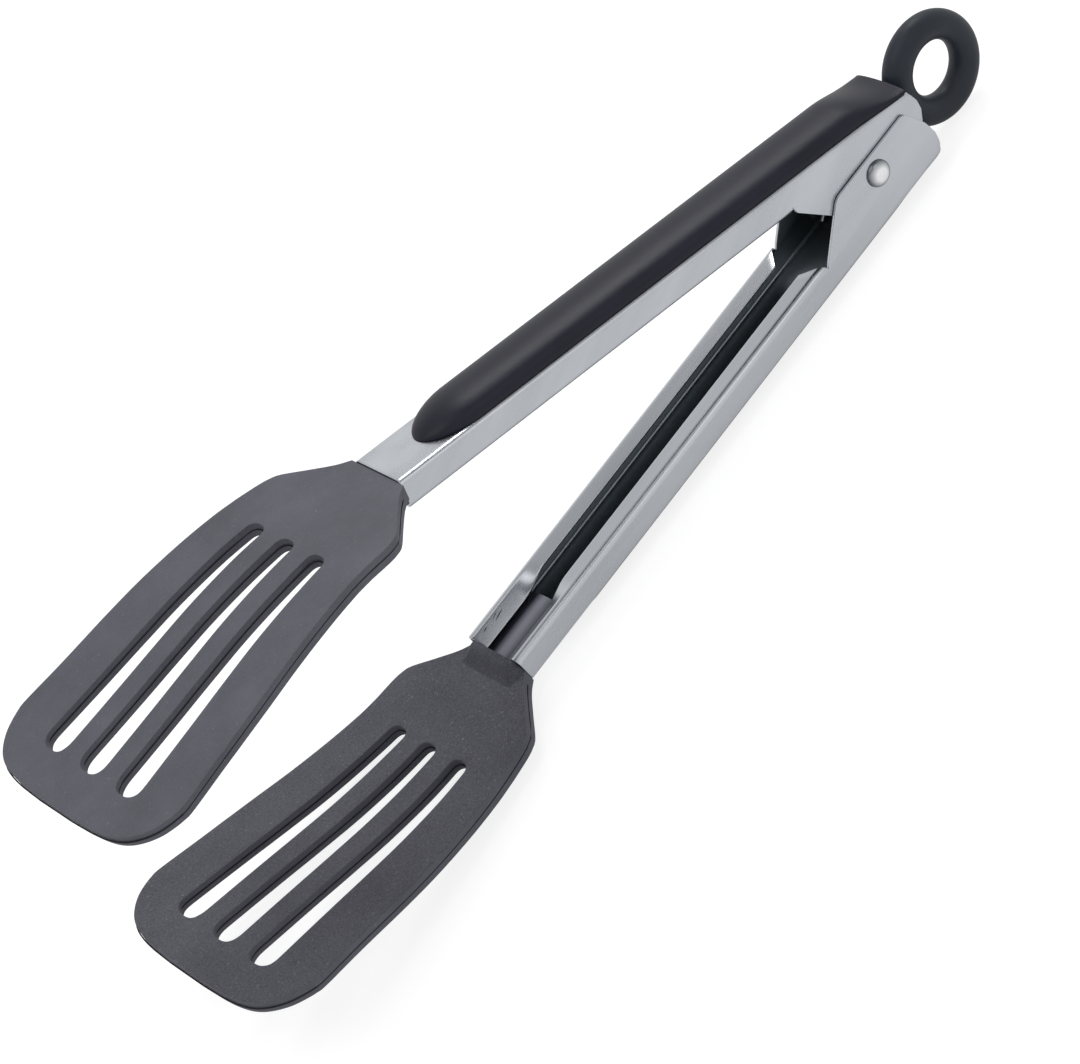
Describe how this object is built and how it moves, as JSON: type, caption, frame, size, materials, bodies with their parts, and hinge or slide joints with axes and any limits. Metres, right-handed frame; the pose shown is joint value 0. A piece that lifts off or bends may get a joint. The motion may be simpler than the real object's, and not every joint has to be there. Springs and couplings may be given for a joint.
{
  "type": "serving tongs",
  "caption": "Serving tongs with folded steel arms, slotted bent heads, half-round grips, a riveted sprung hinge and a locking pull ring.",
  "frame": {"origin": "centre of the bounding box's base, under the crest of the lower grip", "axes": "+X from the heads to the pull ring, +Y along the hinge pin, +Z from the lower arm to the upper arm"},
  "size_m": [0.2656, 0.0616, 0.0758],
  "materials": {
    "brushed_stainless": "satin, brushed along the arm",
    "polished_rivet": "polished dome",
    "spring_steel": "bright drawn wire",
    "grey_nylon": "matt, fine grain",
    "black_grip": "satin",
    "black_ring": "matt"
  },
  "bodies": {
    "lower half": {"lower_arm": "brushed_stainless", "lower_grip": "black_grip", "lower_head": "grey_nylon", "hinge_rivet": "polished_rivet", "torsion_spring": "spring_steel"},
    "upper half": {"upper_arm": "brushed_stainless", "upper_grip": "black_grip", "upper_head": "grey_nylon"},
    "pull ring": {"pull_ring_lock": "black_ring"}
  },
  "joints": [
    {"name": "main pivot", "type": "hinge", "parent": "lower half", "child": "upper half", "pos_m": [0.09118, 0, 0.0154], "axis": [0, -1, 0], "range_deg": [0, 12.8], "stiffness_Nm_per_rad": 0.8, "springref_deg": -22.92, "deforming": ["torsion_spring"]},
    {"name": "ring slide", "type": "slide", "parent": "lower half", "child": "pull ring", "axis": [1, 0, 0], "range_m": [0, 0.0065]}
  ]
}
